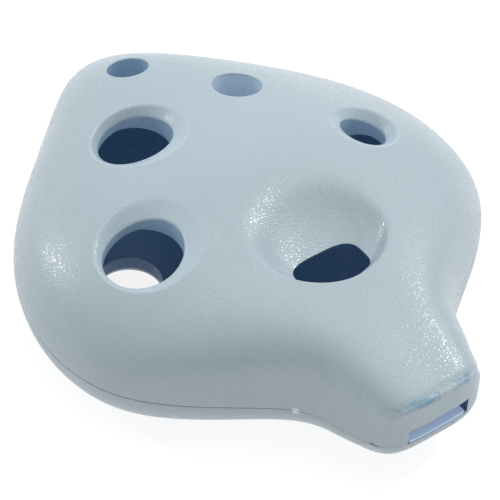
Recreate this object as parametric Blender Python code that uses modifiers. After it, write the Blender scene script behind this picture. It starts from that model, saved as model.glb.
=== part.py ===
"""Pendant ocarina in moulded plastic, in three glued pieces.

upper_shell     domed half with the finger holes, the dish, the labium and the windway roof
lower_shell     shallow half with the flat base, the thumb holes and the seat for the block
windway_block   wedge in the neck whose sloping top is the floor of the windway

Frame: metres, +Z up, standing on z = 0, mouthpiece towards -Y, finger holes on top, and the
origin under the middle of the object.  Heights below are measured up from the seam plane.
"""
import math

import bmesh
import bpy
import numpy as np

MM = 0.001

# Outer form: stations along the length, from the mouth to the tip, as (y, half width).
OUTLINE = [(-36.0, 7.7), (-30.2, 9.55), (-24.4, 12.8), (-18.6, 20.7), (-12.8, 26.8), (-5.5, 29.85),
           (3.9, 29.5), (14.8, 24.7), (25.0, 15.2), (32.3, 7.6), (36.6, 0.0)]
# Height of the crown above the seam, as (y, height).
CROWN = [(-36.0, 6.1), (-23.0, 10.2), (-12.1, 12.4), (0.3, 13.8), (14.8, 11.8), (27.9, 9.1),
         (36.6, 0.0)]

MOUTH_Y = -36.0             # nominal plane of the mouth
TIP_Y = 36.6
MOUTH_BOW = 0.6             # the mouth's middle stands out this far past its nominal plane
MOUTH_CORNER = 2.0          # and its corners are set back this far behind the middle
MOUTH_BOW_FADE = 9.0        # length over which the bow dies out
MOUTH_EDGE = 0.5            # rounding of the mouth's rim
LIP_ROUND = 3.0             # the lower lip curves back under the mouth over this length
DEPTH = 6.3                 # seam plane above the base, and radius of the rolled lower edge
MOUTH_DEPTH = 3.0           # the same at the mouth
DEPTH_BLEND = 24.0          # length over which the underside comes down to the base
CROSS_POWER_BODY = 1.96     # cross-section of the dome, nearly an ellipse
CROSS_POWER_MOUTH = 5.0     # cross-section of the mouth, nearly a rounded box
CROSS_BLEND = 26.0          # length over which one becomes the other
CROSS_ROOT = 2.2

WALL = 2.5
GAP = 0.3                   # clearance between glued pieces
TONGUE_INSET = 1.25         # the seam's tongue starts this far inside the outline
TONGUE_THICK = 1.1
TONGUE_HEIGHT = 1.2
TONGUE_FROM_Y = -23.0

# Windway, window and labium.
WINDWAY_HALF = 4.7
SLOT_HALF = 4.2             # the windway narrows to this just outside the mouth
RAIL_HALF = 6.6             # half width of the duct that holds the windway
ROOF_MOUTH = 2.4            # roof of the windway at the mouth
ROOF_EXIT = 7.7             # and at its inner end
FLOOR_EXIT = 6.4
EXIT_Y = -18.5
LABIUM_Y = -13.0
LABIUM_Z = 8.7
LABIUM_THICK = 0.6
WINDOW_POWER = 3.4          # superellipse of the window: straight sides, round ends
DISH_X = 0.6
DISH_Y = -12.2
DISH_HALF_X = 8.5
DISH_HALF_Y = 7.7
DISH_SIDES = 48
DISH_RISE = 0.05            # the rim's ring stands this far above the dome
DISH_FLARE = 0.8            # and the next ring is this much wider
DISH_PROFILE = [(0.35, 0.25), (0.7, 0.3), (0.88, 0.15)]   # hollow of the slope: share, drop
LABIUM_RUN = 12.5           # underside of the labium: run and rise to the chamber's ceiling
LABIUM_RISE = 3.4
NECK_CLOSED_Y = -29.0       # the neck is solid towards the mouth from here

POCKET_DEPTH = 2.0
LIP = 2.2                   # lip of the lower shell in front of the block
SILL_TOP = 0.3              # a sill on the lip closes the slot up to its floor
SILL_LOW = 0.4              # it reaches this far down into the lip
SILL_INSET = 0.12           # and starts this far behind the mouth's face

# Finger holes: x, y, bore radius, and bottom of the boss inside the dome.
FINGER_HOLES = {
    "finger_hole_a": (-17.7, -2.7, 4.75, 9.3),
    "finger_hole_b": (-7.5, 13.9, 4.6, 8.1),
    "finger_hole_d": (8.4, 14.6, 3.15, 5.6),
    "finger_hole_e": (16.7, -0.4, 2.9, 7.2),
}
# Countersinks: width, depth below the dome, and how width and depth grow along X and Y.
COUNTERSINKS = {
    "finger_hole_a": (1.55, 0.85, (0.9, 0.15), (0.35, 0.4)),
    "finger_hole_b": (1.35, 1.15, (0.15, -0.65), (0.0, 0.0)),
    "finger_hole_e": (1.4, 1.15, (0.0, -0.15), (0.0, 0.0)),
}
CONE_PAST = 1.15            # a countersink's cutter runs on past the dome to this share
BORE_LOW = 2.0              # and down to this height inside the chamber
BOSS_WALL = 1.8
CORD_HOLE = (0.0, 26.6, 2.65)
THUMB_HOLES = [(-13.9, 5.6), (13.9, 5.6)]
THUMB_R = 4.1
THUMB_CHAMFER = 0.7

# Fineness of the meshes.
UPPER_MESH = (39, 24)       # rows along the body behind the lip, columns across it
LOWER_MESH = (33, 24)
CHAMBER_MESH = (25, 18)
RIM_STEPS = 2
LIP_STEPS = 4
ROW_POWER = 1.15            # spreads the rows a little towards the tip
OUTLINE_POINTS = 160
SEAM_POINTS = 55
HOLE_SIDES = 40
BOSS_SIDES = 28
CORD_SIDES = 32
THUMB_SIDES = 36
SILL_SECTIONS = 9

PAST_FACE = 0.2             # cutters run on past a face by this much
OVERLAP = 1.0               # and this far into open space
CUTTER_TOP = 17.0           # above the crown, and below the base when negative
FAR = 60.0                  # past the object on every side


def spline(points):
    """Natural cubic spline through points, as a function."""
    x = np.array([p[0] for p in points])
    v = np.array([p[1] for p in points])
    h = np.diff(x)
    n = len(x)
    a = np.eye(n)
    b = np.zeros(n)
    for i in range(1, n - 1):
        a[i, i - 1:i + 2] = h[i - 1], 2 * (h[i - 1] + h[i]), h[i]
        b[i] = 6 * ((v[i + 1] - v[i]) / h[i] - (v[i] - v[i - 1]) / h[i - 1])
    m = np.linalg.solve(a, b)

    def value(t):
        t = np.clip(t, x[0], x[-1])
        i = np.clip(np.searchsorted(x, t) - 1, 0, n - 2)
        lo, hi, w = x[i + 1] - t, t - x[i], h[i]
        return ((m[i] * lo ** 3 + m[i + 1] * hi ** 3) / (6 * w)
                + (v[i] / w - m[i] * w / 6) * lo + (v[i + 1] / w - m[i + 1] * w / 6) * hi)
    return value


def rounded_profile(points):
    """Spline of the squares, so that the profile closes to a round end where it reaches zero."""
    squares = spline([(y, v * v) for y, v in points])
    return lambda y: np.sqrt(np.maximum(squares(y), 0.0))


half_width = rounded_profile(OUTLINE)
crown = rounded_profile(CROWN)


def smooth(t):
    t = np.clip(t, 0.0, 1.0)
    return t * t * (3 - 2 * t)


def roll(y):
    """Radius of the rolled lower edge, which is also the depth of the lower shell."""
    return MOUTH_DEPTH + (DEPTH - MOUTH_DEPTH) * smooth((y - MOUTH_Y) / DEPTH_BLEND)


def outline_points(count):
    """Half of the plan outline from the mouth to the tip, closely spaced at the round tip."""
    t = np.linspace(0.0, 1.0, count)
    y = MOUTH_Y + (TIP_Y - MOUTH_Y) * np.sin(t * math.pi / 2)
    return np.stack([half_width(y), y], axis=1)


OUTLINE_PATH = outline_points(OUTLINE_POINTS)


def edge_distance(x, y):
    """Distance from a point inside the plan outline to the outline."""
    a = OUTLINE_PATH[:-1]
    d = OUTLINE_PATH[1:] - a
    p = np.array([abs(x), y])
    t = np.clip(((p - a) * d).sum(1) / (d * d).sum(1), 0.0, 1.0)
    return np.sqrt((((a + d * t[:, None]) - p) ** 2).sum(1).min())


def dome_height(x, y):
    """Height of the outer dome above the seam."""
    w = max(float(half_width(y)), 1e-6)
    u = min(abs(x) / w, 1.0)
    blend = smooth((y - MOUTH_Y) / CROSS_BLEND)
    power = CROSS_POWER_MOUTH + (CROSS_POWER_BODY - CROSS_POWER_MOUTH) * blend
    return float(crown(y)) * (1.0 - u ** power) ** (1.0 / CROSS_ROOT)


def base_height(x, y):
    """Height of the outer underside, below zero: a flat base with a rolled edge."""
    r = float(roll(y))
    d = min(edge_distance(x, y), r)
    return -math.sqrt(max(r * r - (r - d) ** 2, 0.0))


def mouth_bow(x, y):
    """Offset along Y that gives the mouth its bowed plan and dies out along the neck."""
    share = min(abs(x) / OUTLINE[0][1], 1.0)
    fade = 1.0 - smooth((y - MOUTH_Y) / MOUTH_BOW_FADE)
    return (MOUTH_CORNER * share ** 4 - MOUTH_BOW) * fade


def rim_share(y):
    """Share of its full size that the mouth has on its rounded rim."""
    back = 1.0 - min(max((y - MOUTH_Y) / MOUTH_EDGE, 0.0), 1.0)
    return 1.0 - MOUTH_EDGE * (1.0 - math.sqrt(1.0 - back * back)) / OUTLINE[0][1]


def lip_share(y):
    """Share of its full depth that the underside has behind the rounded lower lip."""
    back = 1.0 - min(max((y - MOUTH_Y) / LIP_ROUND, 0.0), 1.0)
    return math.sqrt(1.0 - back * back)


# ---------------------------------------------------------------- scene helpers

def clear_scene():
    for obj in list(bpy.data.objects):
        bpy.data.objects.remove(obj, do_unlink=True)


def collection(name):
    col = bpy.data.collections.get(name) or bpy.data.collections.new(name)
    if name not in bpy.context.scene.collection.children:
        bpy.context.scene.collection.children.link(col)
    return col


def plastic(name, color, roughness):
    mat = bpy.data.materials.new(name)
    mat.use_nodes = True
    shader = mat.node_tree.nodes["Principled BSDF"]
    shader.inputs["Base Color"].default_value = (*color, 1.0)
    shader.inputs["Roughness"].default_value = roughness
    shader.inputs["Metallic"].default_value = 0.0
    return mat


def add_object(name, bm, col):
    """Finish a mesh made in millimetres above the seam: to metres, standing on z = 0."""
    mesh = bpy.data.meshes.new(name)
    bmesh.ops.recalc_face_normals(bm, faces=bm.faces)
    for v in bm.verts:
        v.co.z += DEPTH
        v.co *= MM
    bm.to_mesh(mesh)
    bm.free()
    obj = bpy.data.objects.new(name, mesh)
    collection(col).objects.link(obj)
    if col == "cutters":
        obj.hide_render = True
        obj.display_type = "WIRE"
    return obj


def boolean(obj, tool, operation="DIFFERENCE"):
    mod = obj.modifiers.new(operation.lower() + "_" + tool.name, "BOOLEAN")
    mod.operation = operation
    mod.solver = "EXACT"
    mod.object = tool


def box(name, low, high):
    """Cutter box between two corners."""
    bm = bmesh.new()
    bmesh.ops.create_cube(bm, size=1.0)
    for v in bm.verts:
        v.co = [lo + (c + 0.5) * (hi - lo) for c, lo, hi in zip(v.co, low, high)]
    return add_object(name, bm, "cutters")


def prism(name, outline, half, col="cutters"):
    """Side outline of (y, z) points, extruded to both sides of the middle plane."""
    bm = bmesh.new()
    face = bm.faces.new([bm.verts.new((-half, y, z)) for y, z in outline])
    grown = bmesh.ops.extrude_face_region(bm, geom=[face])["geom"]
    moved = [g for g in grown if isinstance(g, bmesh.types.BMVert)]
    bmesh.ops.translate(bm, verts=moved, vec=(2 * half, 0, 0))
    return add_object(name, bm, col)


def turned(name, profile, x, y, sides):
    """Solid of revolution: the (radius, height) profile runs down its outer side."""
    bm = bmesh.new()
    ring = [bm.verts.new((r * MM, 0.0, (z + DEPTH) * MM)) for r, z in profile]
    for a, b in zip(ring, ring[1:]):
        bm.edges.new((a, b))
    mesh = bpy.data.meshes.new(name)
    bm.to_mesh(mesh)
    bm.free()
    obj = bpy.data.objects.new(name, mesh)
    collection("cutters").objects.link(obj)
    obj.location = (x * MM, y * MM, 0.0)
    obj.rotation_euler.z = math.pi / sides
    obj.hide_render = True
    obj.display_type = "WIRE"
    screw = obj.modifiers.new("turn", "SCREW")
    screw.steps = sides
    screw.render_steps = sides
    screw.use_merge_vertices = True
    screw.merge_threshold = 0.00001
    return obj


def skin(rings):
    """Mesh that joins closed rings of equal length, still open at both ends."""
    bm = bmesh.new()
    verts = [[bm.verts.new(p) for p in ring] for ring in rings]
    n = len(rings[0])
    for a, b in zip(verts, verts[1:]):
        for i in range(n):
            j = (i + 1) % n
            bm.faces.new((a[i], a[j], b[j], b[i]))
    return bm, verts


def loft(rings, name, col="cutters"):
    """Skin closed rings of equal length and close both ends."""
    bm, verts = skin(rings)
    bm.faces.new(verts[0])
    bm.faces.new(verts[-1])
    return add_object(name, bm, col)


# ---------------------------------------------------------------- outer form

def section(y, columns):
    """Closed cross-section at y: over the dome from +X to -X and back under the base."""
    w = float(half_width(y))
    k = rim_share(y)
    up, down = [], []
    for i in range(columns + 1):
        x = w * math.cos(math.pi * i / columns)
        bowed = y + mouth_bow(x * k, y)
        up.append((x * k, bowed, dome_height(x, y) * k))
        down.append((x * k, bowed, base_height(x, y) * lip_share(y)))
    return up + down[-2:0:-1]


def quarter_rows(size, steps):
    """Positions along a quarter circle that starts at the mouth, evenly spaced by angle."""
    return [MOUTH_Y + size * (1.0 - math.cos(step * math.pi / 2 / steps)) for step in range(steps + 1)]


def body_mesh(rows, columns):
    """The whole outer form as one closed mesh: rounded mouth rim, rolled lip and round tip."""
    rim = quarter_rows(MOUTH_EDGE, RIM_STEPS)
    lip = [y for y in quarter_rows(LIP_ROUND, LIP_STEPS) if y > MOUTH_Y + MOUTH_EDGE]
    start = MOUTH_Y + LIP_ROUND
    run = [math.sin((i / rows) ** ROW_POWER * math.pi / 2) for i in range(1, rows)]
    rings = [section(y, columns) for y in rim + lip + [start + (TIP_Y - start) * t for t in run]]
    bm, verts = skin(rings)
    n = len(rings[0])
    for i in range(columns):
        face = [verts[0][k % n] for k in (i, i + 1, n - i - 1, n - i)]
        bm.faces.new(list(dict.fromkeys(face)))
    tip = bm.verts.new((0.0, TIP_Y, 0.0))
    for i in range(n):
        bm.faces.new((verts[-1][i], verts[-1][(i + 1) % n], tip))
    return bm


def shell_blank(name, fineness, keep_top):
    """One half of the outer form, cut off at the seam with half the glue gap."""
    obj = add_object(name, body_mesh(*fineness), "ocarina")
    if keep_top:
        boolean(obj, box("below_seam", (-FAR, -FAR, -FAR), (FAR, FAR, GAP / 2)))
    else:
        boolean(obj, box("above_seam", (-FAR, -FAR, -GAP / 2), (FAR, FAR, FAR)))
    return obj


# ---------------------------------------------------------------- cutters

def directions(sides):
    """Unit vectors evenly spaced round a circle, starting half a step off the X axis."""
    for i in range(sides):
        a = 2 * math.pi * (i + 0.5) / sides
        yield math.cos(a), math.sin(a)


def superellipse(half_x, y_near, y_far, z, sides=DISH_SIDES):
    """Rounded rectangle between y_near and y_far, as a ring of points at height z."""
    half_y, mid = (y_far - y_near) / 2, (y_far + y_near) / 2
    ring = []
    for c, s in directions(sides):
        r = (abs(c / half_x) ** WINDOW_POWER + abs(s / half_y) ** WINDOW_POWER) ** (-1 / WINDOW_POWER)
        ring.append((r * c, mid + r * s, z))
    return ring


def ellipse(half_x, y_near, y_far, z, sides=DISH_SIDES):
    half_y, mid = (y_far - y_near) / 2, (y_far + y_near) / 2
    return [(half_x * c, mid + half_y * s, z) for c, s in directions(sides)]


def on_dome(ring, rise=0.0):
    return [(x, y, dome_height(x, y) + rise) for x, y, _ in ring]


def between(low, high, share, drop):
    """Ring part of the way from one ring to another, lowered by drop."""
    ring = []
    for p, q in zip(low, high):
        x, y, z = [a + (b - a) * share for a, b in zip(p, q)]
        ring.append((x, y, z - drop))
    return ring


def dish_rim(grow, rise):
    """Ring on the dome round the dish, this much wider than its rim and above the dome."""
    half_x, half_y = DISH_HALF_X + grow, DISH_HALF_Y + grow
    ring = ellipse(half_x, DISH_Y - half_y, DISH_Y + half_y, 0.0)
    return on_dome([(x + DISH_X, y, z) for x, y, z in ring], rise)


def dish_cutter():
    """Funnel from an oval rim on the dome down to the window's edge."""
    throat = superellipse(WINDWAY_HALF, EXIT_Y, LABIUM_Y, LABIUM_Z)
    below = [(x, y, ROOF_EXIT - 2 * OVERLAP) for x, y, _ in throat]
    rim = dish_rim(0.0, DISH_RISE)
    wide = dish_rim(DISH_FLARE, 2 * DISH_RISE)
    top = [(x, y, CUTTER_TOP) for x, y, _ in wide]
    slopes = [between(throat, rim, share, drop) for share, drop in DISH_PROFILE]
    return loft([below, throat, *slopes, rim, wide, top], "dish_and_window")


def labium_backing():
    """Material kept under the dish: it thins to the labium's edge and grows to the full wall."""
    low_z = LABIUM_Z - LABIUM_THICK
    low = superellipse(RAIL_HALF, EXIT_Y - WALL, LABIUM_Y, low_z)
    high = ellipse(DISH_HALF_X + WALL, EXIT_Y - WALL, LABIUM_Y + LABIUM_RUN, low_z + LABIUM_RISE)
    top = [(x, y, crown(0.0)) for x, y, _ in high]
    return loft([low, high, top], "labium_backing")


def roof_line(y):
    slope = (ROOF_EXIT - ROOF_MOUTH) / (EXIT_Y - MOUTH_Y)
    return ROOF_MOUTH + slope * (y - MOUTH_Y)


def windway_cutter():
    """Everything under the windway's roof, from outside the mouth to the window."""
    stations = [(MOUTH_Y - 2 * OVERLAP, SLOT_HALF), (MOUTH_Y + LIP, WINDWAY_HALF),
                (EXIT_Y + PAST_FACE, WINDWAY_HALF)]
    sections = []
    for y, half in stations:
        roof = roof_line(y)
        sections.append([(-half, y, -OVERLAP), (half, y, -OVERLAP), (half, y, roof), (-half, y, roof)])
    return loft(sections, "windway")


def seam_strip(name, inset_out, inset_in, z_low, z_high, from_y):
    """Strip that follows the outline round the chamber at a constant inset."""
    half = outline_points(SEAM_POINTS)
    half = half[half[:, 1] > from_y]
    path = np.concatenate([half, half[-2::-1] * [-1.0, 1.0]])
    tangent = np.gradient(path, axis=0)
    tangent /= np.linalg.norm(tangent, axis=1)[:, None]
    inward = np.stack([-tangent[:, 1], tangent[:, 0]], axis=1)
    sections = []
    for p, n in zip(path, inward):
        a, b = p + n * inset_out, p + n * inset_in
        sections.append([(a[0], a[1], z_low), (b[0], b[1], z_low),
                         (b[0], b[1], z_high), (a[0], a[1], z_high)])
    return loft(sections, name)


def boss(name, x, y, radius, z_low, z_high):
    return turned(name, [(0, z_high), (radius, z_high), (radius, z_low), (0, z_low)], x, y, BOSS_SIDES)


def chamber_cutter():
    """Air chamber: the outer form drawn in by the wall, less all that stands inside it."""
    chamber = add_object("chamber", body_mesh(*CHAMBER_MESH), "cutters")
    inset = chamber.modifiers.new("wall", "DISPLACE")
    inset.strength = -WALL * MM
    inset.mid_level = 0.0
    boolean(chamber, box("solid_neck", (-FAR, -FAR, -FAR), (FAR, NECK_CLOSED_Y, FAR)))
    boolean(chamber, box("duct", (-RAIL_HALF, -FAR, -FAR), (RAIL_HALF, EXIT_Y, FAR)))
    boolean(chamber, labium_backing())
    for name, (x, y, radius, low) in FINGER_HOLES.items():
        boolean(chamber, boss(name + "_boss", x, y, radius + BOSS_WALL, low, CUTTER_TOP))
    x, y, radius = CORD_HOLE
    boolean(chamber, boss("cord_tube", x, y, radius + BOSS_WALL, -CUTTER_TOP, CUTTER_TOP))
    return chamber


def finger_hole_cutter(name):
    """Bore with an optional countersink, whose rim and foot both follow the dome."""
    x, y, radius, _ = FINGER_HOLES[name]
    bottom, foot, rim = [], [], []
    width, depth, widen, deepen = COUNTERSINKS.get(name, (0.0, 0.0, (0.0, 0.0), (0.0, 0.0)))
    for c, s in directions(HOLE_SIDES):
        reach = radius + width + widen[0] * c + widen[1] * s
        sink = depth + deepen[0] * c + deepen[1] * s
        level = dome_height(x + reach * c, y + reach * s)
        bottom.append((x + radius * c, y + radius * s, BORE_LOW))
        foot.append((x + radius * c, y + radius * s, level - sink))
        rim.append((x + reach * c, y + reach * s, level))
    past = between(foot, rim, CONE_PAST, 0.0)
    top = [(px, py, CUTTER_TOP) for px, py, _ in past]
    rings = [bottom, foot, past, top] if name in COUNTERSINKS else [bottom, top]
    return loft(rings, name + "_cut")


def cord_hole_cutter():
    x, y, radius = CORD_HOLE
    return turned("cord_hole", [(0, CUTTER_TOP), (radius, CUTTER_TOP), (radius, -CUTTER_TOP),
                                (0, -CUTTER_TOP)], x, y, CORD_SIDES)


def thumb_hole_cutter(i):
    """Bore up from the base, with a chamfer at 45 degrees that runs on past the base."""
    x, y = THUMB_HOLES[i]
    chamfer_top = THUMB_CHAMFER - DEPTH
    end = -DEPTH - PAST_FACE
    wide = THUMB_R + THUMB_CHAMFER + PAST_FACE
    inside = -WALL / 2
    profile = [(0, inside), (THUMB_R, inside), (THUMB_R, chamfer_top), (wide, end), (0, end)]
    return turned(f"thumb_hole_{i + 1}", profile, x, y, THUMB_SIDES)


def lip_sill():
    """Low bar on the lower lip, bowed like the mouth, that closes the slot up to its floor."""
    half = SLOT_HALF - GAP / 2
    back = MOUTH_Y + LIP + PAST_FACE
    sections = []
    for x in np.linspace(-half, half, SILL_SECTIONS):
        front = MOUTH_Y + mouth_bow(x, MOUTH_Y) + SILL_INSET
        sections.append([(x, front, -SILL_LOW), (x, back, -SILL_LOW),
                         (x, back, SILL_TOP), (x, front, SILL_TOP)])
    return loft(sections, "lip_sill")


def block_pocket():
    front, back = MOUTH_Y + LIP, EXIT_Y + GAP
    return box("block_pocket", (-WINDWAY_HALF, front, -POCKET_DEPTH), (WINDWAY_HALF, back, OVERLAP))


# ---------------------------------------------------------------- pieces

def upper_shell(chamber, cord_hole, material):
    obj = shell_blank("upper_shell", UPPER_MESH, keep_top=True)
    obj.data.materials.append(material)
    boolean(obj, chamber)
    boolean(obj, dish_cutter())
    boolean(obj, windway_cutter())
    for name in FINGER_HOLES:
        boolean(obj, finger_hole_cutter(name))
    boolean(obj, cord_hole)
    rebate = seam_strip("seam_rebate", TONGUE_INSET - GAP, WALL + OVERLAP, -OVERLAP,
                        TONGUE_HEIGHT + GAP, TONGUE_FROM_Y - GAP)
    boolean(obj, rebate)
    return obj


def lower_shell(chamber, cord_hole, material):
    obj = shell_blank("lower_shell", LOWER_MESH, keep_top=False)
    obj.data.materials.append(material)
    boolean(obj, chamber)
    tongue = seam_strip("seam_tongue", TONGUE_INSET, TONGUE_INSET + TONGUE_THICK, -TONGUE_HEIGHT,
                        TONGUE_HEIGHT, TONGUE_FROM_Y)
    boolean(obj, tongue, "UNION")
    boolean(obj, lip_sill(), "UNION")
    boolean(obj, block_pocket())
    boolean(obj, cord_hole)
    for i in range(len(THUMB_HOLES)):
        boolean(obj, thumb_hole_cutter(i))
    return obj


def windway_block(material):
    """Wedge in the pocket: level with the sill at the mouth, rising to the window."""
    front, back = MOUTH_Y + LIP + GAP, EXIT_Y - GAP
    bottom = GAP - POCKET_DEPTH
    side = [(front, bottom), (back, bottom), (back, FLOOR_EXIT), (front, SILL_TOP)]
    obj = prism("windway_block", side, WINDWAY_HALF - GAP, "ocarina")
    obj.data.materials.append(material)
    return obj


def main():
    clear_scene()
    collection("ocarina")
    collection("cutters")
    shell = plastic("grey_blue_plastic", (0.46, 0.54, 0.59), 0.45)
    block = plastic("inner_plastic", (0.40, 0.48, 0.55), 0.5)
    chamber = chamber_cutter()
    cord_hole = cord_hole_cutter()
    upper_shell(chamber, cord_hole, shell)
    lower_shell(chamber, cord_hole, shell)
    windway_block(block)


main()
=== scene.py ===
"""Pendant ocarina in moulded plastic: upper shell, lower shell and windway block.

Lengths are in millimetres and are turned to metres when a mesh is finished.  Heights of the shapes
are measured from the seam plane, which lies SEAM_Z above the surface that the ocarina rests on.
Heights of marks, lights and camera are measured from that surface.
"""
import math

import bmesh
import bpy
import numpy as np
from mathutils import Matrix, Vector


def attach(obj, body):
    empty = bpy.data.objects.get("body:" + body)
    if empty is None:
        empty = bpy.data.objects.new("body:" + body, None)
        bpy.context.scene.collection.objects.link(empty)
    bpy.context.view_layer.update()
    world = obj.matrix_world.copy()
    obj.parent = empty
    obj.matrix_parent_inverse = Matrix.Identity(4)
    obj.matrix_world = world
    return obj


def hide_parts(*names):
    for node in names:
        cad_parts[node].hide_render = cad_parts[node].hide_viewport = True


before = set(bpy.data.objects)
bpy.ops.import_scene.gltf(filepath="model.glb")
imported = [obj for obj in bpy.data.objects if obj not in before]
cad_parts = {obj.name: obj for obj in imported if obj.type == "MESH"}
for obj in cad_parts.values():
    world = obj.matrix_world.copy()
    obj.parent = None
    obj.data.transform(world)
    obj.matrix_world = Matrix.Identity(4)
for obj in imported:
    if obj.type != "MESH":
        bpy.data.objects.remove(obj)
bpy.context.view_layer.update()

MM = 0.001

# ------------------------------------------------------------------ driving dimensions

# Plan outline (y, half width) and crown line (y, height above the seam), mouth to tip.
OUTLINE = [(-36.0, 7.7), (-30.2, 9.55), (-24.4, 12.8), (-18.6, 20.7), (-12.8, 26.8), (-5.5, 29.85),
           (3.9, 29.5), (14.8, 24.7), (25.0, 15.2), (32.3, 7.6), (36.6, 0.0)]
CROWN = [(-36.0, 6.1), (-23.0, 10.2), (-12.1, 12.4), (0.3, 13.8), (14.8, 11.8), (27.9, 9.1),
         (36.6, 0.0)]
SEAM_Z = 6.3
MOUTH_DEPTH = 3.0
DEPTH_BLEND = 24.0
MOUTH_Y = -36.0
TIP_Y = 36.6
MOUTH_BOW = 0.6             # the mouth's middle stands out this far past its nominal plane
MOUTH_CORNER = 2.0          # and its corners are set back this far behind the middle
MOUTH_BOW_FADE = 9.0
MOUTH_EDGE = 0.5
LIP_ROUND = 3.0             # the lower lip curves back under the mouth over this length
CROSS_POWER_BODY = 1.96
CROSS_POWER_MOUTH = 5.0
CROSS_BLEND = 26.0
CROSS_ROOT = 2.2

WALL = 2.5
SEAM_GAP = 0.03             # half of the fine open line between the glued shells
SEAM_CHAMFER = 0.07
SEAM_CLOSED = 0.2           # share of both that is left on the neck
SEAM_FADE = (-31.0, -20.0)
GLUE_GAP = 0.3
TONGUE_INSET = 1.25
TONGUE_THICK = 1.1
TONGUE_HEIGHT = 1.2
TONGUE_FROM_Y = -23.0

WINDWAY_HALF = 4.7
SLOT_HALF = 4.2             # the windway narrows to this just outside the mouth
RAIL_HALF = 6.6
ROOF_MOUTH = 2.4
ROOF_EXIT = 7.7
FLOOR_EXIT = 6.4
EXIT_Y = -18.5
LABIUM_Y = -13.0
LABIUM_Z = 8.7
LABIUM_THICK = 0.6
LABIUM_RUN = 12.5
LABIUM_RISE = 3.4
WINDOW_POWER = 3.4
DISH_X = 0.6
DISH_Y = -12.2
DISH_HALF_X = 8.5
DISH_HALF_Y = 7.7
DISH_HOLLOW = 0.3
UNDERCUT = 0.25             # the window widens below its edge by this share of the depth
DISH_SOFT_NEAR = 0.3        # rounding of the dish's rim towards the mouth
DISH_SOFT_FAR = 2.4         # and towards the tip
NECK_CLOSED_Y = -29.0
POCKET_DEPTH = 2.0
LIP = 2.2
SILL_TOP = 0.3              # a sill on the lip closes the slot up to its floor
SILL_LOW = 0.4
SILL_INSET = 0.12
SILL_BACK = 0.2             # the sill runs this far past the pocket's front
CUT_PAST = 1.0              # cutters run this far past the faces that they open
WINDWAY_FRONT = 2.0         # the windway's cutter starts this far in front of the mouth
WINDWAY_BACK = 0.2          # and ends this far inside the window
THROAT_PAST = 2.0           # the window's cutter ends this far below the windway's roof

# Finger holes: x, y, bore radius, and bottom of the boss inside the dome.
FINGER_HOLES = {
    "finger_hole_a": (-17.7, -2.7, 4.75, 9.3),
    "finger_hole_b": (-7.5, 13.9, 4.6, 8.1),
    "finger_hole_d": (8.4, 14.6, 3.15, 5.6),
    "finger_hole_e": (16.7, -0.4, 2.9, 7.2),
}
# Countersinks: width, depth below the dome, and how width and depth grow along X and Y.
COUNTERSINKS = {
    "finger_hole_a": (1.55, 0.85, (0.9, 0.15), (0.35, 0.4)),
    "finger_hole_b": (1.35, 1.15, (0.15, -0.65), (0.0, 0.0)),
    "finger_hole_e": (1.4, 1.15, (0.0, -0.15), (0.0, 0.0)),
}
BORE_LOW = 2.0              # cutters reach down to this height inside the chamber
RIM_ROUND = 0.32
INNER_ROUND = 0.16
PLAIN_ROUND = 0.3           # rounding of the holes that have no countersink
BOSS_WALL = 1.8
CORD_HOLE = (0.0, 26.6, 2.65)
THUMB_HOLES = [(-13.9, 5.6), (13.9, 5.6)]
THUMB_R = 4.1
THUMB_CHAMFER = 0.7

FORM_STEP = 0.36            # spacing of the fine mesh's rows along the outline
FORM_COLUMNS = 160
CHAMBER_STEP = 1.1
CHAMBER_COLUMNS = 40
PLAIN_SIDES = 48
HOLE_SIDES = 96
DISH_SIDES = 128
SHARP_ANGLE = math.radians(32.0)
BLOCK_BEVEL = 0.15
EXIT_LIFT = 0.012           # a soft rim's last ring leaves the dome by this much
EXIT_RUN = 0.5
EXIT_RISE = 0.07
CUTTER_TOP = 6.0            # cutters end this far above the crown
FAR = 60.0

# Plastics: colour, its mottled darker tone, roughness, and the strength of a painted glow that paints light
# into the surface.
SHELL_PLASTIC = ((0.42, 0.49, 0.535), (0.40, 0.47, 0.52), 0.40, 0.0)
# Lighter copy of the shell's colour with a faint glow: painted light on the holes' countersink slopes and
# rims.
SLOPE_PAINTED_LIGHT = ((0.42, 0.505, 0.56), (0.40, 0.485, 0.54), 0.42, 0.06)
# Brighter colour and a strong glow: painted light on the windway block seen through the slot.
BLOCK_PAINTED_LIGHT = ((0.40, 0.54, 0.72), (0.38, 0.51, 0.69), 0.48, 0.70)
# Bluish colour with a glow: painted light on the lip's sill in the slot.
SILL_PAINTED_LIGHT = ((0.38, 0.50, 0.66), (0.36, 0.48, 0.64), 0.48, 0.45)
# Dark navy with a faint glow: painted shade, with some painted light, on the walls of the countersunk bores
# and the cord hole.
BORE_PAINTED_SHADE = ((0.24, 0.35, 0.48), (0.22, 0.33, 0.46), 0.45, 0.20)
# Bluish copy of the shell's colour with a glow: painted shade and painted light on the walls of the holes
# without a countersink.
PLAIN_BORE_PAINTED_LIGHT = ((0.40, 0.50, 0.61), (0.38, 0.48, 0.59), 0.45, 0.25)
# Near-black navy: painted shade inside the chamber, windway, window throat and thumb bores; its faint glow
# is painted light.
CHAMBER_PAINTED_SHADE = ((0.016, 0.040, 0.085), (0.015, 0.037, 0.080), 0.5, 0.72)
PLASTIC_IOR = 1.5
# Colour of the painted shade low on the flanks.
PAINTED_SHADE_TONE = (0.12, 0.17, 0.20)
RUBBED_TONE = (0.17, 0.32, 0.43)
NICK_TONE = (0.72, 0.78, 0.80)

# Texture scales, in cells to the metre.
MOTTLE_SCALE = 90.0
GRAIN_SCALE = 3600.0
PIT_SCALE = 4200.0
RUB_SCALE = 420.0
NICK_SCALE = 1500.0

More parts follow.
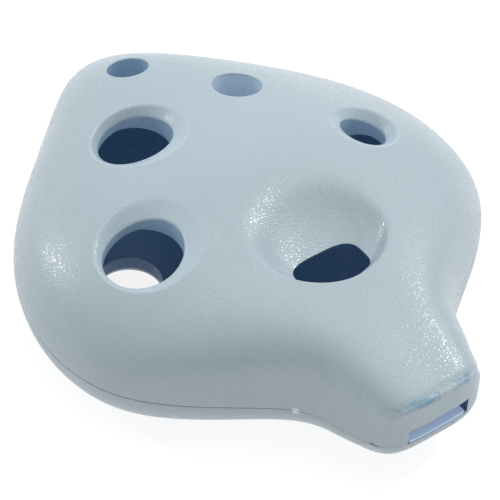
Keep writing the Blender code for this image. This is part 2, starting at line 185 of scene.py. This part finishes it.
MOTTLE_RANGE = (0.3, 0.7)
GRAIN_RANGE = (0.45, 0.8)
FACET_RANGE = (0.55, 0.85)
RUB_RANGE = (0.46, 0.56)
BUMP_DEPTH = 0.05
BUMP_STRENGTH = 0.6
GRAIN_LIGHTER = 1.5         # the grain's peaks are this many times lighter
GRAIN_SHARE = 0.10
FACET_SHARP = 0.20          # a few facets of the texture are this much glossier, and glint
PAINTED_SHADE_HEIGHTS = (1.0, 11.0)   # painted shade darkens the flanks towards the table, between these heights
PAINTED_SHADE_SHARE = 0.34
RUB_WIDTH = 0.95            # rubbed marks lie within this distance of the mouth's front
RUB_TOP = 11.9              # and above this height
RUB_FADE = 0.35
RUB_SHARE = 0.85
NICK = (-11.9, -25.2, 6.3)  # small whitish nick at the seam
NICK_RADII = (0.75, 0.50)
NICK_RAGGED = 0.4
NICK_SHARE = 0.9

FLOOR_HALF = 4000.0
FLOOR_DROP = 0.2
FLOOR_COLOR = (0.25, 0.25, 0.25)
FLOOR_GLOW = 0.84
LIGHT_TARGET = (0.0, 0.0, 10.0)
# Lights: place, diameter and power in watts.
LIGHTS = {
    "overhead": ((80.0, 60.0, 620.0), 400.0, 0.6),
    "right": ((400.0, -50.0, 440.0), 40.0, 1.0),
    "left_back_low": ((-270.0, 480.0, 220.0), 30.0, 0.6),
}
SKY_BRIGHT = (0.30, 0.45, 0.84)     # direction of the brightest part of the surround
SKY_FROM = -0.55
SKY_STRENGTH = (0.03, 0.98)
SKY_COLOR = (0.94, 0.985, 1.0)

CAMERA_AZIMUTH = math.radians(-38.97)
CAMERA_ELEVATION = math.radians(44.72)
CAMERA_ROLL = math.radians(3.6)
CAMERA_DISTANCE = 272.2
CAMERA_OFFSET = (-1.02, 1.83)       # where the pivot lies in the view, right and up
CAMERA_PIVOT = (0.0, 1.4, SEAM_Z)
CAMERA_FOCAL = 4.4                  # focal length over the frame's width
CAMERA_NEAR = 5.0
SENSOR = 36.0

# ------------------------------------------------------------------ outer form


def spline(points):
    """Natural cubic spline through points, as a function of an array."""
    x = np.array([p[0] for p in points])
    v = np.array([p[1] for p in points])
    h = np.diff(x)
    n = len(x)
    a = np.eye(n)
    b = np.zeros(n)
    for i in range(1, n - 1):
        a[i, i - 1:i + 2] = h[i - 1], 2 * (h[i - 1] + h[i]), h[i]
        b[i] = 6 * ((v[i + 1] - v[i]) / h[i] - (v[i] - v[i - 1]) / h[i - 1])
    m = np.linalg.solve(a, b)

    def value(t):
        t = np.clip(t, x[0], x[-1])
        i = np.clip(np.searchsorted(x, t) - 1, 0, n - 2)
        lo, hi, w = x[i + 1] - t, t - x[i], h[i]
        return ((m[i] * lo ** 3 + m[i + 1] * hi ** 3) / (6 * w)
                + (v[i] / w - m[i] * w / 6) * lo + (v[i + 1] / w - m[i + 1] * w / 6) * hi)
    return value


def rounded_profile(points):
    """Spline of the squares, so that the profile closes to a round end where it is zero."""
    squares = spline([(y, v * v) for y, v in points])
    return lambda y: np.sqrt(np.maximum(squares(y), 0.0))


half_width = rounded_profile(OUTLINE)
crown = rounded_profile(CROWN)


def smooth(t):
    t = np.clip(t, 0.0, 1.0)
    return t * t * (3 - 2 * t)


def roll(y):
    return MOUTH_DEPTH + (SEAM_Z - MOUTH_DEPTH) * smooth((y - MOUTH_Y) / DEPTH_BLEND)


def outline_path(step):
    """Half of the plan outline, mouth to tip, with points a constant distance apart."""
    y = MOUTH_Y + (TIP_Y - MOUTH_Y) * np.sin(np.linspace(0.0, math.pi / 2, 2400))
    x = half_width(y)
    run = np.concatenate([[0.0], np.cumsum(np.hypot(np.diff(x), np.diff(y)))])
    at = np.linspace(0.0, run[-1], int(run[-1] / step) + 1)
    return np.stack([np.interp(at, run, x), np.interp(at, run, y)], axis=1)


FINE_OUTLINE = outline_path(0.05)


def edge_distance(x, y):
    """Distance from points of one cross-section, at y, to the plan outline near it."""
    near = FINE_OUTLINE[np.abs(FINE_OUTLINE[:, 1] - y) < SEAM_Z + 1.0]
    a = near[:-1]
    d = near[1:] - a
    px = np.abs(x)[:, None] - a[:, 0]
    py = y - a[:, 1]
    t = np.clip((px * d[:, 0] + py * d[:, 1]) / (d * d).sum(1), 0.0, 1.0)
    return np.sqrt(((px - t * d[:, 0]) ** 2 + (py - t * d[:, 1]) ** 2).min(1))


def dome_height(x, y):
    w = np.maximum(half_width(y), 1e-6)
    u = np.minimum(np.abs(x) / w, 1.0)
    blend = smooth((y - MOUTH_Y) / CROSS_BLEND)
    power = CROSS_POWER_MOUTH + (CROSS_POWER_BODY - CROSS_POWER_MOUTH) * blend
    return crown(y) * (1.0 - u ** power) ** (1.0 / CROSS_ROOT)


def base_height(x, y):
    """Height of the underside over one cross-section: a flat base with a rolled edge."""
    r = roll(y)
    d = np.minimum(edge_distance(x, y), r)
    return -np.sqrt(np.maximum(r * r - (r - d) ** 2, 0.0))


def mouth_bow(x, y):
    """Offset along Y that gives the mouth its bowed plan and dies out along the neck."""
    share = np.minimum(np.abs(x) / OUTLINE[0][1], 1.0)
    fade = 1.0 - smooth((y - MOUTH_Y) / MOUTH_BOW_FADE)
    return (MOUTH_CORNER * share ** 4 - MOUTH_BOW) * fade


def seam_share(y):
    start, stop = SEAM_FADE
    return SEAM_CLOSED + (1.0 - SEAM_CLOSED) * smooth((y - start) / (stop - start))


def section(y, columns, part):
    """Closed cross-section at y of the whole form ('whole') or of one shell's half."""
    w = float(half_width(y))
    x = w * np.cos(np.linspace(0.0, math.pi, columns + 1))
    if part == "whole":
        top, low = dome_height(x, y), base_height(x, y)
        ring_x = np.concatenate([x, x[-2:0:-1]])
        ring_z = np.concatenate([top, low[-2:0:-1]])
    else:
        gap, chamfer = SEAM_GAP * seam_share(y), SEAM_CHAMFER * seam_share(y)
        if part == "upper":
            side, height = 1.0, dome_height(x, y)
        else:
            back = 1.0 - np.clip((y - MOUTH_Y) / LIP_ROUND, 0.0, 1.0)
            side, height = -1.0, -base_height(x, y) * math.sqrt(1.0 - back * back)
        foot = max(1.0 - chamfer / w, 0.3)
        ring_x = np.concatenate([x, foot * x[::-1]])
        ring_z = side * np.concatenate([np.maximum(height, gap + chamfer), np.full(columns + 1, gap)])
    return np.stack([ring_x, y + mouth_bow(ring_x, y), ring_z], axis=1)


def rim_section(first, turn):
    """The mouth's section on its rounded rim, from the end face (0) to the flank (a right angle)."""
    k = 1.0 - MOUTH_EDGE * (1.0 - math.sin(turn)) / OUTLINE[0][1]
    out = first.copy()
    out[:, 0] *= k
    foot = first[:, 2].min()
    lift = SEAM_CHAMFER * SEAM_CLOSED * (1.0 - math.sin(turn))
    out[:, 1] = MOUTH_Y + mouth_bow(out[:, 0], MOUTH_Y) + MOUTH_EDGE * (1.0 - math.cos(turn))
    out[:, 2] = foot + lift + (first[:, 2] - foot) * k
    return out


def skin(rings):
    """Mesh that joins closed rings of equal length, still open at both ends."""
    bm = bmesh.new()
    verts = [[bm.verts.new(p) for p in ring] for ring in rings]
    n = len(rings[0])
    for a, b in zip(verts, verts[1:]):
        for i in range(n):
            j = (i + 1) % n
            bm.faces.new((a[i], a[j], b[j], b[i]))
    return bm, verts


def form(name, part, step, columns):
    """Loft of the outer form: mouth face, rounded mouth rim, flanks and round tip."""
    if part == "lower":
        edge = LIP_ROUND
        turns = np.linspace(0.0, math.pi / 2, 14)
        rings = [section(MOUTH_Y + edge * (1.0 - math.cos(t)), columns, part) for t in turns]
    else:
        edge = MOUTH_EDGE
        first = section(MOUTH_Y, columns, part)
        rings = [rim_section(first, t) for t in np.linspace(0.0, math.pi / 2, 6)]
    rows = outline_path(step)[:, 1]
    rings += [section(y, columns, part) for y in rows if MOUTH_Y + edge + 0.2 < y < TIP_Y - 0.004]
    bm, verts = skin(rings)
    n = len(rings[0])
    last = 0 if part == "whole" else n - 1
    for i in range(columns):
        face = [verts[0][k] for k in (i, i + 1, (last - i - 1) % n, (last - i) % n)]
        bm.faces.new(list(dict.fromkeys(face)))
    side = {"upper": 1.0, "lower": -1.0, "whole": 0.0}[part]
    tip = bm.verts.new((0.0, TIP_Y, side * (SEAM_GAP + SEAM_CHAMFER / 2)))
    for i in range(n):
        bm.faces.new((verts[-1][i], verts[-1][(i + 1) % n], tip))
    return finished(name, bm)


# ------------------------------------------------------------------ mesh helpers

def finished(name, bm):
    """Object from a mesh made in millimetres above the seam."""
    bmesh.ops.recalc_face_normals(bm, faces=bm.faces)
    for v in bm.verts:
        v.co.z += SEAM_Z
        v.co *= MM
    mesh = bpy.data.meshes.new(name)
    bm.to_mesh(mesh)
    bm.free()
    obj = bpy.data.objects.new(name, mesh)
    bpy.context.scene.collection.objects.link(obj)
    return obj


def loft(rings, name, first=None, rest=None):
    """Closed loft; the first band may have its own material."""
    bm, verts = skin(rings)
    bm.faces.new(verts[0])
    bm.faces.new(verts[-1])
    obj = finished(name, bm)
    if first:
        obj.data.materials.append(first)
        obj.data.materials.append(rest)
        for face in obj.data.polygons:
            face.material_index = 0 if face.index < len(rings[0]) else 1
    return obj


def box(name, low, high):
    bm = bmesh.new()
    bmesh.ops.create_cube(bm, size=1.0)
    for v in bm.verts:
        v.co = [lo + (c + 0.5) * (hi - lo) for c, lo, hi in zip(v.co, low, high)]
    return finished(name, bm)


def prism(name, outline, half, material=None):
    """Side outline of (y, z) points, extruded to both sides of the middle plane."""
    obj = loft([[(x, y, z) for y, z in outline] for x in (-half, half)], name)
    if material:
        obj.data.materials.append(material)
    return obj


def combine(obj, tool, operation="DIFFERENCE", dispose=True):
    """Boolean whose result is kept as plain mesh."""
    mod = obj.modifiers.new("cut", "BOOLEAN")
    mod.operation = operation
    mod.solver = "EXACT"
    mod.material_mode = "TRANSFER"
    mod.object = tool
    bake_modifiers(obj)
    if dispose:
        bpy.data.objects.remove(tool, do_unlink=True)


def bake_modifiers(obj):
    graph = bpy.context.evaluated_depsgraph_get()
    mesh = bpy.data.meshes.new_from_object(obj.evaluated_get(graph))
    old = obj.data
    obj.modifiers.clear()
    obj.data = mesh
    bpy.data.meshes.remove(old)


def directions(sides):
    a = 2 * math.pi * (np.arange(sides) + 0.5) / sides
    return np.cos(a), np.sin(a)


def ring_at(x, y, z):
    """Ring of points from three arrays or numbers."""
    return np.stack(np.broadcast_arrays(x, y, z), axis=1).astype(float)


def curve_rings(start, corner, end, count):
    """Rings along a quadratic curve from one ring to another, rounding the corner ring."""
    rings = []
    for s in np.linspace(0.0, 1.0, count):
        rings.append((1 - s) ** 2 * start + 2 * s * (1 - s) * corner + s * s * end)
    return rings


def soft_rim(inner, rim, outward, size):
    """Rings that round a rim on the dome: from the inner wall, over, and out of the dome.

    inner is a ring on the wall size below the rim; outward holds unit vectors in plan.
    """
    size = np.broadcast_to(size, len(rim))[:, None]
    flat = rim[:, :2] + outward * size
    end = ring_at(flat[:, 0], flat[:, 1], dome_height(flat[:, 0], flat[:, 1]) + EXIT_LIFT)
    rings = curve_rings(inner, rim, end, 7)
    out = flat + outward * EXIT_RUN
    rings.append(ring_at(out[:, 0], out[:, 1], dome_height(out[:, 0], out[:, 1]) + EXIT_RISE))
    rings.append(ring_at(out[:, 0], out[:, 1], crown(0.0) + CUTTER_TOP))
    return rings


# ------------------------------------------------------------------ openings

def hole_cutter(name, place, sink, rim_round, bore, outer):
    """Bore with an optional countersink; its rims are softly rounded and follow the dome."""
    x, y, radius = place
    width, depth, widen, deepen = sink or (0.0, 0.0, (0.0, 0.0), (0.0, 0.0))
    c, s = directions(HOLE_SIDES)
    reach = radius + width + widen[0] * c + widen[1] * s
    level = dome_height(x + reach * c, y + reach * s)

    def at(r, z):
        return ring_at(x + r * c, y + r * s, z)

    rings = [at(radius, BORE_LOW)]
    if sink:
        fall = depth + deepen[0] * c + deepen[1] * s
        foot = level - fall
        lean = (reach - radius) / fall
        turn = np.minimum(INNER_ROUND, 0.3 * fall)
        end = at(radius + lean * turn, foot + turn)
        rings += curve_rings(at(radius, foot - turn), at(radius, foot), end, 4)
        start = np.minimum(rim_round, 0.45 * fall)
        inner = at(reach - lean * start, level - start)
    else:
        inner = at(reach, level - rim_round)
    rings += soft_rim(inner, at(reach, level), np.stack([c, s], axis=1), rim_round)
    return loft(rings, name, bore, outer)


def window_ring(z, half_x=WINDWAY_HALF, near=EXIT_Y, far=LABIUM_Y, sides=DISH_SIDES):
    c, s = directions(sides)
    half_y, mid = (far - near) / 2, (far + near) / 2
    r = (np.abs(c / half_x) ** WINDOW_POWER + np.abs(s / half_y) ** WINDOW_POWER) ** (-1 / WINDOW_POWER)
    return ring_at(r * c, mid + r * s, z)


def dish_cutter(throat_wall, outer):
    """Funnel from a soft round rim on the dome down to the window's edge, and through it."""
    c, s = directions(DISH_SIDES)
    throat = window_ring(LABIUM_Z)
    depth = LABIUM_Z - ROOF_EXIT + THROAT_PAST
    below = window_ring(LABIUM_Z - depth)
    middle = (EXIT_Y + LABIUM_Y) / 2
    below[:, 0] += UNDERCUT * depth * np.sign(throat[:, 0]) * np.abs(c)
    below[:, 1] += UNDERCUT * depth * np.sign(throat[:, 1] - middle) * np.abs(s)
    x, y = DISH_X + DISH_HALF_X * c, DISH_Y + DISH_HALF_Y * s
    rim = ring_at(x, y, dome_height(x, y))
    size = DISH_SOFT_NEAR + (DISH_SOFT_FAR - DISH_SOFT_NEAR) * smooth((s + 1.0) / 2)
    run = np.linalg.norm((rim - throat)[:, :2], axis=1)
    stop = 1.0 - size / np.maximum(run, size * 1.5)

    def slope_ring(share):
        ring = throat + (rim - throat) * share[:, None]
        ring[:, 2] -= DISH_HOLLOW * np.sin(math.pi * np.minimum(share, 1.0))
        return ring

    rings = [below, throat] + [slope_ring(stop * t) for t in np.linspace(0.0, 1.0, 8)[1:-1]]
    rings += soft_rim(slope_ring(stop), rim, np.stack([c, s], axis=1), size)
    return loft(rings, "dish", throat_wall, outer)


def labium_backing():
    low_z = LABIUM_Z - LABIUM_THICK
    c, s = directions(PLAIN_SIDES)
    low = window_ring(low_z, RAIL_HALF, EXIT_Y - WALL, LABIUM_Y, PLAIN_SIDES)
    near, far = EXIT_Y - WALL, LABIUM_Y + LABIUM_RUN
    high = ring_at((DISH_HALF_X + WALL) * c, (near + far) / 2 + (far - near) / 2 * s, low_z + LABIUM_RISE)
    top = high.copy()
    top[:, 2] = crown(0.0)
    return loft([low, high, top], "labium_backing")


def roof_line(y):
    return ROOF_MOUTH + (ROOF_EXIT - ROOF_MOUTH) * (y - MOUTH_Y) / (EXIT_Y - MOUTH_Y)


def windway_cutter(material):
    low = -CUT_PAST
    stations = [(MOUTH_Y - WINDWAY_FRONT, SLOT_HALF), (MOUTH_Y + LIP, WINDWAY_HALF),
                (EXIT_Y + WINDWAY_BACK, WINDWAY_HALF)]
    rings = []
    for y, half in stations:
        roof = roof_line(y)
        rings.append([(-half, y, low), (half, y, low), (half, y, roof), (-half, y, roof)])
    obj = loft(rings, "windway")
    obj.data.materials.append(material)
    return obj


def lip_sill(material):
    """Low bar on the lower lip, bowed like the mouth, that closes the slot up to its floor."""
    half = SLOT_HALF - GLUE_GAP / 2
    back = MOUTH_Y + LIP + SILL_BACK
    rings = []
    for x in np.linspace(-half, half, 33):
        front = MOUTH_Y + float(mouth_bow(x, MOUTH_Y)) + SILL_INSET
        rings.append([(x, front, -SILL_LOW), (x, back, -SILL_LOW),
                      (x, back, SILL_TOP), (x, front, SILL_TOP)])
    obj = loft(rings, "lip_sill")
    obj.data.materials.append(material)
    return obj


def seam_strip(name, inset_out, inset_in, z_low, z_high, from_y):
    half = outline_path(0.9)
    half = half[half[:, 1] > from_y]
    path = np.concatenate([half, half[-2::-1] * [-1.0, 1.0]])
    tangent = np.gradient(path, axis=0)
    tangent /= np.linalg.norm(tangent, axis=1)[:, None]
    inward = np.stack([-tangent[:, 1], tangent[:, 0]], axis=1)
    rings = []
    for p, n in zip(path, inward):
        a, b = p + n * inset_out, p + n * inset_in
        rings.append([(*a, z_low), (*b, z_low), (*b, z_high), (*a, z_high)])
    return loft(rings, name)


def post(name, x, y, radius, z_low, z_high, sides=PLAIN_SIDES):
    c, s = directions(sides)
    return loft([ring_at(x + radius * c, y + radius * s, z) for z in (z_low, z_high)], name)


def chamber_cutter(material):
    """Air chamber: the outer form drawn in by the wall, less all that stands inside it."""
    chamber = form("chamber", "whole", CHAMBER_STEP, CHAMBER_COLUMNS)
    chamber.data.materials.append(material)
    inset = chamber.modifiers.new("wall", "DISPLACE")
    inset.strength = -WALL * MM
    inset.mid_level = 0.0
    bake_modifiers(chamber)
    combine(chamber, box("solid_neck", (-FAR, -FAR, -FAR), (FAR, NECK_CLOSED_Y, FAR)))
    combine(chamber, box("duct", (-RAIL_HALF, -FAR, -FAR), (RAIL_HALF, EXIT_Y, FAR)))
    combine(chamber, labium_backing())
    for name, (x, y, radius, low) in FINGER_HOLES.items():
        combine(chamber, post(name + "_boss", x, y, radius + BOSS_WALL, low, FAR / 2))
    x, y, radius = CORD_HOLE
    combine(chamber, post("cord_tube", x, y, radius + BOSS_WALL, -FAR / 2, FAR / 2))
    return chamber


def thumb_cutter(i, bore, outer):
    """Thumb hole through the flat base, with a small soft chamfer outside."""
    x, y = THUMB_HOLES[i]
    c, s = directions(HOLE_SIDES)

    def at(r, z):
        return ring_at(x + r * c, y + r * s, z)

    base = -SEAM_Z
    wide = THUMB_R + THUMB_CHAMFER
    rings = [at(THUMB_R, -WALL / 2)]
    rings += curve_rings(at(THUMB_R, base + THUMB_CHAMFER), at(THUMB_R, base), at(wide, base - EXIT_LIFT), 6)
    rings.append(at(wide + EXIT_RUN, base - EXIT_RISE))
    return loft(rings, f"thumb_hole_{i + 1}", bore, outer)


# ------------------------------------------------------------------ pieces

def shade(obj):
    obj.data.shade_smooth()
    obj.data.set_sharp_from_angle(angle=SHARP_ANGLE)


def upper_moulding(chamber, shell, dark, bore, plain_bore_painted_light, slope):
    obj = form("upper_shell_moulding", "upper", FORM_STEP, FORM_COLUMNS)
    obj.data.materials.append(shell)
    combine(obj, chamber, dispose=False)
    # Countersink slopes and rims take the lighter copy of the shell plastic, which is painted light.
    for name, (*place, _) in FINGER_HOLES.items():
        sink = COUNTERSINKS.get(name)
        wall = bore if sink else plain_bore_painted_light
        combine(obj, hole_cutter(name, place, sink, RIM_ROUND if sink else PLAIN_ROUND, wall, slope))
    combine(obj, post("cord_hole_low", *CORD_HOLE, -CUT_PAST, BORE_LOW + CUT_PAST, HOLE_SIDES))
    combine(obj, hole_cutter("cord_hole_top", CORD_HOLE, None, PLAIN_ROUND, bore, slope))
    combine(obj, seam_strip("seam_rebate", TONGUE_INSET - GLUE_GAP, WALL + CUT_PAST, -CUT_PAST,
                            TONGUE_HEIGHT + GLUE_GAP, TONGUE_FROM_Y - GLUE_GAP))
    combine(obj, windway_cutter(dark))
    combine(obj, dish_cutter(dark, shell))
    shade(obj)
    return obj


def lower_moulding(chamber, shell, dark, bore, sill):
    obj = form("lower_shell_moulding", "lower", FORM_STEP * 1.5, FORM_COLUMNS - 40)
    obj.data.materials.append(shell)
    combine(obj, chamber)
    combine(obj, seam_strip("seam_tongue", TONGUE_INSET, TONGUE_INSET + TONGUE_THICK, -TONGUE_HEIGHT,
                            TONGUE_HEIGHT, TONGUE_FROM_Y), "UNION")
    combine(obj, lip_sill(sill), "UNION")
    combine(obj, box("block_pocket", (-WINDWAY_HALF, MOUTH_Y + LIP, -POCKET_DEPTH),
                     (WINDWAY_HALF, EXIT_Y + GLUE_GAP, CUT_PAST)))
    x, y, radius = CORD_HOLE
    cord = post("cord_hole_low", x, y, radius, -FAR / 3, FAR / 3, HOLE_SIDES)
    cord.data.materials.append(bore)
    combine(obj, cord)
    for i in range(len(THUMB_HOLES)):
        combine(obj, thumb_cutter(i, dark, shell))
    shade(obj)
    return obj


def block_moulding(material):
    front, back = MOUTH_Y + LIP + GLUE_GAP, EXIT_Y - GLUE_GAP
    bottom = GLUE_GAP - POCKET_DEPTH
    side = [(front, bottom), (back, bottom), (back, FLOOR_EXIT), (front, SILL_TOP)]
    obj = prism("windway_block_moulding", side, WINDWAY_HALF - GLUE_GAP, material)
    bevel = obj.modifiers.new("edges", "BEVEL")
    bevel.width = BLOCK_BEVEL * MM
    bevel.segments = 3
    bevel.limit_method = "ANGLE"
    bake_modifiers(obj)
    shade(obj)
    return obj


# ------------------------------------------------------------------ materials

class Nodes:
    """Small helper that adds and links shader nodes."""

    def __init__(self, name):
        self.material = bpy.data.materials.new(name)
        self.material.use_nodes = True
        self.tree = self.material.node_tree
        self.shader = self.tree.nodes["Principled BSDF"]

    def add(self, kind, inputs=None, **settings):
        node = self.tree.nodes.new(kind)
        for key, value in settings.items():
            setattr(node, key, value)
        for key, value in (inputs or {}).items():
            if isinstance(value, bpy.types.NodeSocket):
                self.tree.links.new(value, node.inputs[key])
            else:
                node.inputs[key].default_value = value
        return node

    def noise(self, where, scale, detail=2.0, roughness=0.5):
        node = self.add("ShaderNodeTexNoise", {"Vector": where, "Scale": scale, "Detail": detail,
                                               "Roughness": roughness})
        return node.outputs["Fac"]

    def ramp(self, value, low, high, start=0.0, stop=1.0):
        node = self.add("ShaderNodeMapRange", {"Value": value, "From Min": low, "From Max": high,
                                               "To Min": start, "To Max": stop})
        return node.outputs["Result"]

    def mix(self, factor, a, b):
        node = self.add("ShaderNodeMix", data_type="RGBA")
        for socket, value in ((node.inputs[0], factor), (node.inputs[6], a), (node.inputs[7], b)):
            if isinstance(value, bpy.types.NodeSocket):
                self.tree.links.new(value, socket)
            else:
                socket.default_value = value
        return node.outputs[2]

    def math(self, operation, a, b):
        node = self.add("ShaderNodeMath", {0: a, 1: b}, operation=operation)
        return node.outputs[0]


def moulded_plastic(name, color, deep, roughness, painted_glow_strength):
    """Spark-textured plastic: glinting fine grain and faint mottling."""
    n = Nodes(name)
    where = n.add("ShaderNodeTexCoord").outputs["Object"]
    mottle = n.noise(where, MOTTLE_SCALE, 3.0)
    grain = n.noise(where, GRAIN_SCALE, 2.0, 0.6)
    pits = n.add("ShaderNodeTexVoronoi", {"Vector": where, "Scale": PIT_SCALE}).outputs
    light = [min(1.0, c * GRAIN_LIGHTER) for c in color]
    tone = n.mix(n.ramp(mottle, *MOTTLE_RANGE), (*color, 1.0), (*deep, 1.0))
    n.tone = n.mix(n.ramp(grain, *GRAIN_RANGE, 0.0, GRAIN_SHARE), tone, (*light, 1.0))
    n.where = where
    rough = n.ramp(mottle, *MOTTLE_RANGE, roughness - 0.03, roughness + 0.07)
    cell = n.add("ShaderNodeSeparateColor", {0: pits["Color"]}).outputs[0]
    facet = n.ramp(cell, *FACET_RANGE, 0.0, FACET_SHARP)
    n.tree.links.new(n.math("SUBTRACT", rough, facet), n.shader.inputs["Roughness"])
    height = n.math("ADD", n.math("MULTIPLY", grain, 0.7), n.math("MULTIPLY", pits["Distance"], 0.6))
    bump = n.add("ShaderNodeBump", {"Height": height, "Strength": BUMP_STRENGTH,
                                    "Distance": BUMP_DEPTH * MM})
    n.tree.links.new(bump.outputs["Normal"], n.shader.inputs["Normal"])
    n.shader.inputs["IOR"].default_value = PLASTIC_IOR
    # The emission is painted light: a glow in the plastic's own colour, set to zero on the shells.
    n.shader.inputs["Emission Color"].default_value = (*color, 1.0)
    n.shader.inputs["Emission Strength"].default_value = painted_glow_strength
    n.tree.links.new(n.tone, n.shader.inputs["Base Color"])
    return n


def shell_plastic():
    """The shells' plastic, with rubbed marks along the mouth's top edge, a nick at the seam, and painted
    shade towards the base.
    """
    n = moulded_plastic("moulded_grey_blue", *SHELL_PLASTIC)
    split = n.add("ShaderNodeSeparateXYZ", {0: n.where}).outputs
    across = n.math("DIVIDE", n.math("ABSOLUTE", split[0], 0.0), OUTLINE[0][1] * MM)
    share = n.math("POWER", n.math("MINIMUM", across, 1.0), 4.0)
    front = n.math("ADD", n.math("MULTIPLY", share, MOUTH_CORNER * MM), (MOUTH_Y - MOUTH_BOW) * MM)
    behind = n.math("SUBTRACT", split[1], front)
    near = n.ramp(behind, RUB_WIDTH * MM, 0.5 * RUB_WIDTH * MM)
    top = n.ramp(split[2], (RUB_TOP - RUB_FADE) * MM, RUB_TOP * MM)
    patches = n.ramp(n.noise(n.where, RUB_SCALE, 3.0, 0.65), *RUB_RANGE, 0.0, RUB_SHARE)
    # Painted shade: the colour darkens towards the table.
    painted_shade_mask = n.ramp(split[2], PAINTED_SHADE_HEIGHTS[0] * MM, PAINTED_SHADE_HEIGHTS[1] * MM, PAINTED_SHADE_SHARE, 0.0)
    tone = n.mix(painted_shade_mask, n.tone, (*PAINTED_SHADE_TONE, 1.0))
    rubbed = n.math("MULTIPLY", n.math("MULTIPLY", near, top), patches)
    tone = n.mix(rubbed, tone, (*RUBBED_TONE, 1.0))
    place = tuple(c * MM for c in NICK)
    away = n.add("ShaderNodeVectorMath", {0: n.where, 1: place}, operation="DISTANCE").outputs["Value"]
    ragged = n.math("MULTIPLY", n.noise(n.where, NICK_SCALE), NICK_RAGGED * MM)
    nick = n.ramp(n.math("ADD", away, ragged), NICK_RADII[0] * MM, NICK_RADII[1] * MM, 0.0, NICK_SHARE)
    tone = n.mix(nick, tone, (*NICK_TONE, 1.0))
    n.tree.links.new(tone, n.shader.inputs["Base Color"])
    return n


# ------------------------------------------------------------------ stage, light and camera

def soft_light(name, place, size, power):
    """Round area light that shines at the middle of the ocarina."""
    data = bpy.data.lights.new(name, "AREA")
    data.shape = "DISK"
    data.size = size * MM
    data.energy = power
    obj = bpy.data.objects.new(name, data)
    bpy.context.scene.collection.objects.link(obj)
    obj.location = Vector(place) * MM
    facing = (Vector(LIGHT_TARGET) - Vector(place)).to_track_quat("-Z", "Y")
    obj.rotation_euler = facing.to_euler()


def studio():
    bm = bmesh.new()
    bmesh.ops.create_grid(bm, x_segments=8, y_segments=8, size=FLOOR_HALF * MM)
    mesh = bpy.data.meshes.new("studio_floor")
    bm.to_mesh(mesh)
    bm.free()
    floor = bpy.data.objects.new("studio_floor", mesh)
    bpy.context.scene.collection.objects.link(floor)
    floor.location.z = -FLOOR_DROP * MM
    paper = bpy.data.materials.new("pale_floor")
    paper.use_nodes = True
    shader = paper.node_tree.nodes["Principled BSDF"]
    shader.inputs["Base Color"].default_value = (*FLOOR_COLOR, 1.0)
    shader.inputs["Roughness"].default_value = 0.9
    shader.inputs["Emission Color"].default_value = (1.0, 1.0, 1.0, 1.0)
    shader.inputs["Emission Strength"].default_value = FLOOR_GLOW
    mesh.materials.append(paper)
    bpy.context.scene.world = sky_dome()
    for name, (place, size, power) in LIGHTS.items():
        soft_light(name, place, size, power)


def sky_dome():
    """Pale surround that is brightest overhead and behind, and dim at the front left."""
    world = bpy.data.worlds.new("studio")
    world.use_nodes = True
    tree = world.node_tree
    where = tree.nodes.new("ShaderNodeTexCoord")
    facing = tree.nodes.new("ShaderNodeVectorMath")
    facing.operation = "DOT_PRODUCT"
    facing.inputs[1].default_value = Vector(SKY_BRIGHT).normalized()
    shade_of = tree.nodes.new("ShaderNodeMapRange")
    shade_of.inputs["From Min"].default_value = SKY_FROM
    shade_of.inputs["To Min"].default_value = SKY_STRENGTH[0]
    shade_of.inputs["To Max"].default_value = SKY_STRENGTH[1]
    tree.links.new(where.outputs["Generated"], facing.inputs[0])
    tree.links.new(facing.outputs["Value"], shade_of.inputs["Value"])
    background = tree.nodes["Background"]
    background.inputs["Color"].default_value = (*SKY_COLOR, 1.0)
    tree.links.new(shade_of.outputs["Result"], background.inputs["Strength"])
    return world


def camera():
    a, e = CAMERA_AZIMUTH, CAMERA_ELEVATION
    back = Vector((math.sin(a) * math.cos(e), -math.cos(a) * math.cos(e), math.sin(e)))
    level = Vector((math.cos(a), math.sin(a), 0.0))
    lift = back.cross(level)
    c, s = math.cos(CAMERA_ROLL), math.sin(CAMERA_ROLL)
    right = c * level + s * lift
    up = -s * level + c * lift
    place = Vector(CAMERA_PIVOT) + back * CAMERA_DISTANCE - right * CAMERA_OFFSET[0] - up * CAMERA_OFFSET[1]
    data = bpy.data.cameras.new("front_camera")
    data.sensor_width = SENSOR
    data.lens = SENSOR * CAMERA_FOCAL
    data.clip_start = CAMERA_NEAR * MM
    obj = bpy.data.objects.new("front_camera", data)
    bpy.context.scene.collection.objects.link(obj)
    turn = Matrix((right, up, back)).transposed().to_4x4()
    obj.matrix_world = Matrix.Translation(place * MM) @ turn
    bpy.context.scene.camera = obj


# ------------------------------------------------------------------ assembly

def main():
    bpy.context.scene.view_settings.view_transform = "Standard"
    camera()
    studio()
    shell = shell_plastic().material
    slope = moulded_plastic("slope_painted_light", *SLOPE_PAINTED_LIGHT).material
    # The block and the sill carry painted light where they show in the slot.
    block = moulded_plastic("inner_painted_light", *BLOCK_PAINTED_LIGHT).material
    sill = moulded_plastic("sill_painted_light", *SILL_PAINTED_LIGHT).material
    bore = moulded_plastic("bore_painted_shade", *BORE_PAINTED_SHADE).material
    plain_bore_painted_light = moulded_plastic("plain_bore_painted_light", *PLAIN_BORE_PAINTED_LIGHT).material
    # Painted shade for the chamber, windway, window throat and thumb bores.
    dark = moulded_plastic("chamber_painted_shade", *CHAMBER_PAINTED_SHADE).material
    chamber = chamber_cutter(dark)
    pieces = {
        "upper_shell": (upper_moulding(chamber, shell, dark, bore, plain_bore_painted_light, slope), "shell_plastic"),
        "lower_shell": (lower_moulding(chamber, shell, dark, bore, sill), "shell_plastic"),
        "windway_block": (block_moulding(block), "block_plastic"),
    }
    for node, (piece, slot) in pieces.items():
        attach(piece, "root")
        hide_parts(node)


main()
